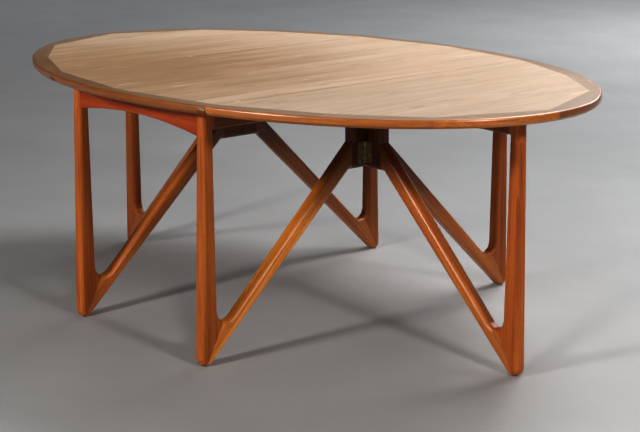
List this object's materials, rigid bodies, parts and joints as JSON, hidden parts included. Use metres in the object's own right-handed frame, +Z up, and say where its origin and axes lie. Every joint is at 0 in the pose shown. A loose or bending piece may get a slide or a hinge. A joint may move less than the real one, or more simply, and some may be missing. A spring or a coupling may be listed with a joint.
{
  "type": "drop-leaf dining table",
  "caption": "Oval drop-leaf dining table in teak on a fixed base of splayed V-shaped legs, with swinging gate legs that hold up the leaves.",
  "frame": {"origin": "on the floor, under the middle of the top", "axes": "+X along the top's length, across the two leaves; +Y along the seams; +Z up"},
  "size_m": [2.01, 1.33, 0.72],
  "materials": {
    "top_veneer": "faded oiled teak veneer, satin",
    "edge_teak": "solid teak, satin",
    "frame_teak": "solid teak, oiled satin",
    "bright_brass": "brushed",
    "aged_brass": "aged, dull",
    "steel": "dull"
  },
  "bodies": {
    "fixed_table": {"back_block": "frame_teak", "back_hinge_frame_plate": "aged_brass", "back_hinge_pin": "aged_brass", "back_leaf_edge_1": "edge_teak", "back_leaf_edge_2": "edge_teak", "back_leaf_edge_3": "edge_teak", "back_leaf_edge_4": "edge_teak", "back_leaf_edge_5": "edge_teak", "back_leaf_edge_6": "edge_teak", "back_leaf_panel": "top_veneer", "back_left_brace": "frame_teak", "back_left_post": "frame_teak", "back_rail": "frame_teak", "back_right_brace": "frame_teak", "back_right_post": "frame_teak", "centre_left_edge_back": "edge_teak", "centre_left_edge_front": "edge_teak", "centre_panel": "top_veneer", "centre_right_edge_back": "edge_teak", "centre_right_edge_front": "edge_teak", "front_block": "frame_teak", "front_hinge_frame_plate": "aged_brass", "front_hinge_pin": "aged_brass", "front_leaf_edge_1": "edge_teak", "front_leaf_edge_2": "edge_teak", "front_leaf_edge_3": "edge_teak", "front_leaf_edge_4": "edge_teak", "front_leaf_edge_5": "edge_teak", "front_leaf_edge_6": "edge_teak", "front_leaf_panel": "top_veneer", "front_left_brace": "frame_teak", "front_left_post": "frame_teak", "front_rail": "frame_teak", "front_right_brace": "frame_teak", "front_right_post": "frame_teak", "gate_stop_screws": "steel", "gate_stops": "frame_teak", "hinge_frame_screws": "steel", "leaf_hinge_centre_plates": "bright_brass", "leaf_hinge_leaf_plates": "bright_brass", "leaf_hinge_screws": "steel", "left_apron": "frame_teak", "right_apron": "frame_teak", "top_screws": "steel"},
    "front_gate": {"front_gate_block": "frame_teak", "front_gate_brace": "frame_teak", "front_gate_post": "frame_teak", "front_gate_rail": "frame_teak", "front_hinge_gate_plate": "aged_brass", "front_hinge_gate_screws": "steel"},
    "back_gate": {"back_gate_block": "frame_teak", "back_gate_brace": "frame_teak", "back_gate_post": "frame_teak", "back_gate_rail": "frame_teak", "back_hinge_gate_plate": "aged_brass", "back_hinge_gate_screws": "steel"}
  },
  "joints": [
    {"name": "front_gate_swing", "type": "hinge", "parent": "fixed_table", "child": "front_gate", "pos_m": [0.3158, -0.0198, 0.512], "axis": [0, 0, -1], "range_deg": [0, 88.5]},
    {"name": "back_gate_swing", "type": "hinge", "parent": "fixed_table", "child": "back_gate", "pos_m": [-0.3158, 0.0198, 0.512], "axis": [0, 0, -1], "range_deg": [0, 88.5]}
  ]
}
